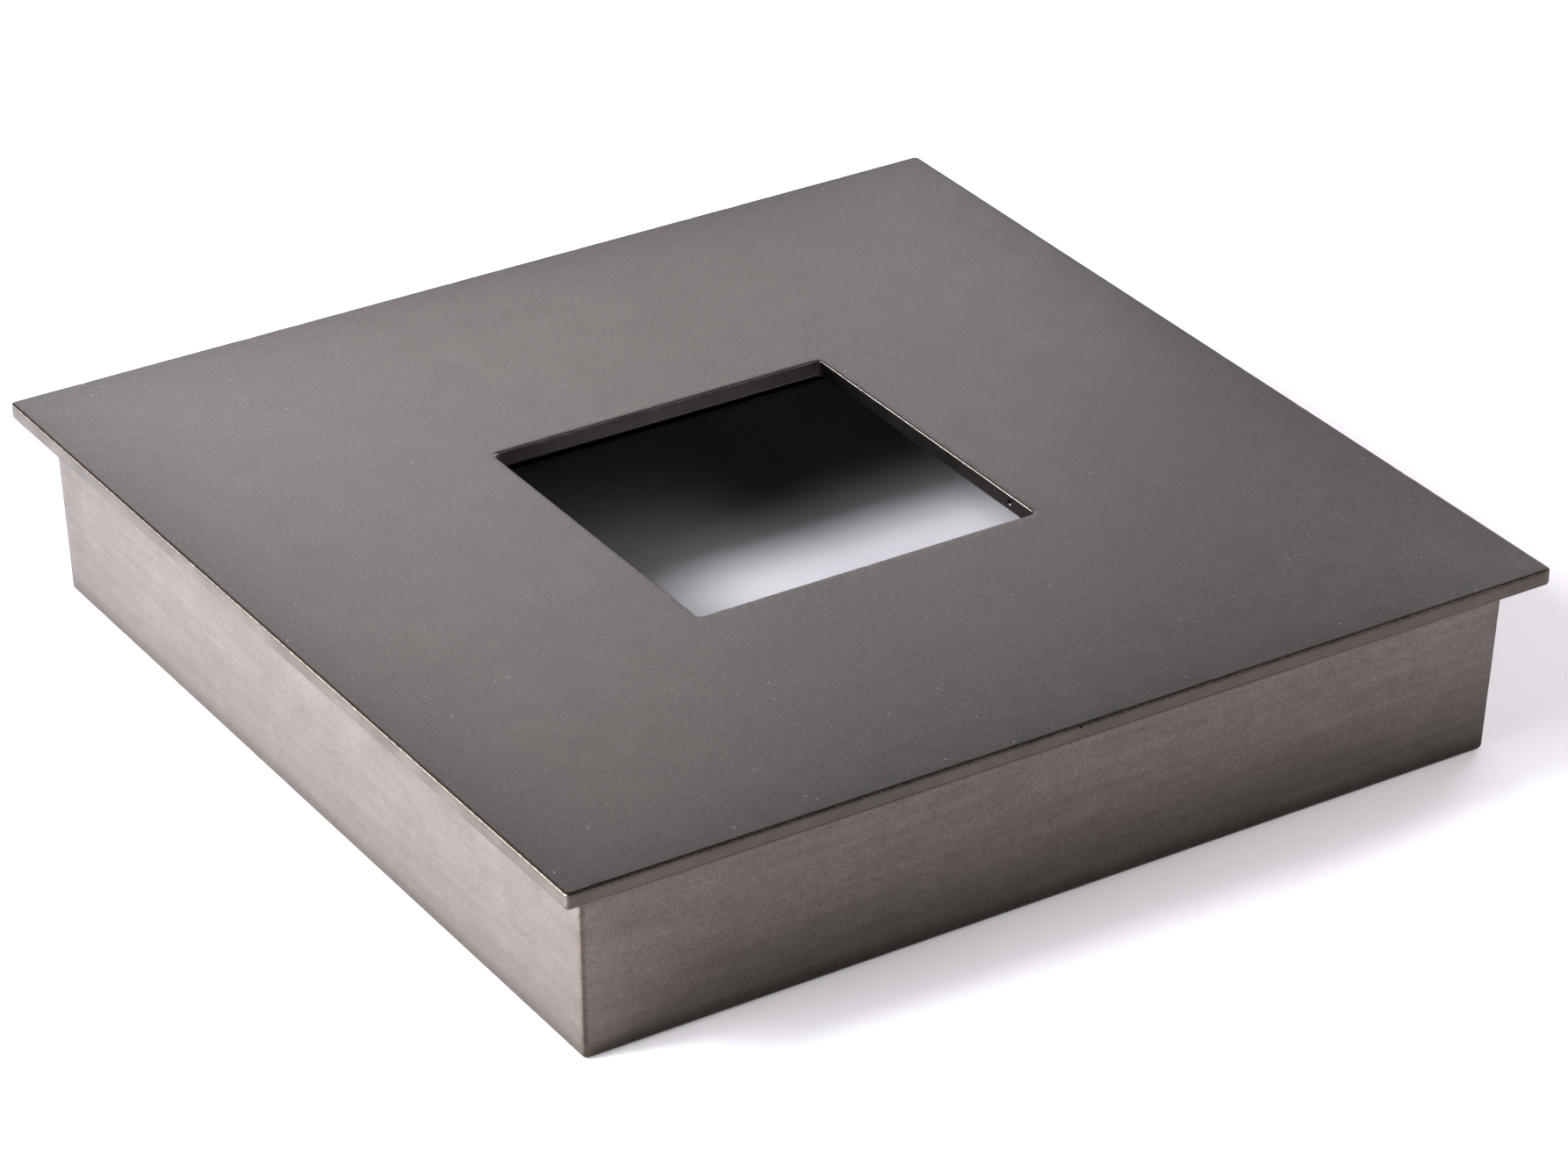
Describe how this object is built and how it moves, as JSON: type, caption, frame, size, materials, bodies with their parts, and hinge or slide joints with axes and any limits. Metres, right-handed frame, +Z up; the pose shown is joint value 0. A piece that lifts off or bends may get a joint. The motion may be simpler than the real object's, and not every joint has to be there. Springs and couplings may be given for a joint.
{
  "type": "square flanged cover of a bollard light",
  "caption": "Low square metal cover for a bollard light: a flat flange plate with a square opening over a drafted, open-bottomed skirt, fastened from below.",
  "frame": {"origin": "centre of the square footprint, on the surface that the skirt's rim stands on", "axes": "+Z up through the middle of the square opening, which is the shortest extent; X and Y square to the plate's edges; -Y is the front wall and -X the left wall"},
  "size_m": [0.18, 0.18, 0.0342],
  "materials": {
    "patinated_brass": "blasted cast surface with a dark pewter-brown patina, satin",
    "raw_brass": "as machined, dulled",
    "stainless_steel": "plain, satin"
  },
  "bodies": {
    "root": {"flange_plate": "patinated_brass", "skirt_front": "patinated_brass", "skirt_right": "patinated_brass", "skirt_rear": "patinated_brass", "skirt_left": "patinated_brass", "corner_block_front_left": "raw_brass", "corner_block_front_right": "raw_brass", "corner_block_rear_left": "raw_brass", "corner_block_rear_right": "raw_brass", "plate_studs": "raw_brass", "stud_washers": "stainless_steel", "stud_nuts": "stainless_steel"}
  },
  "joints": []
}
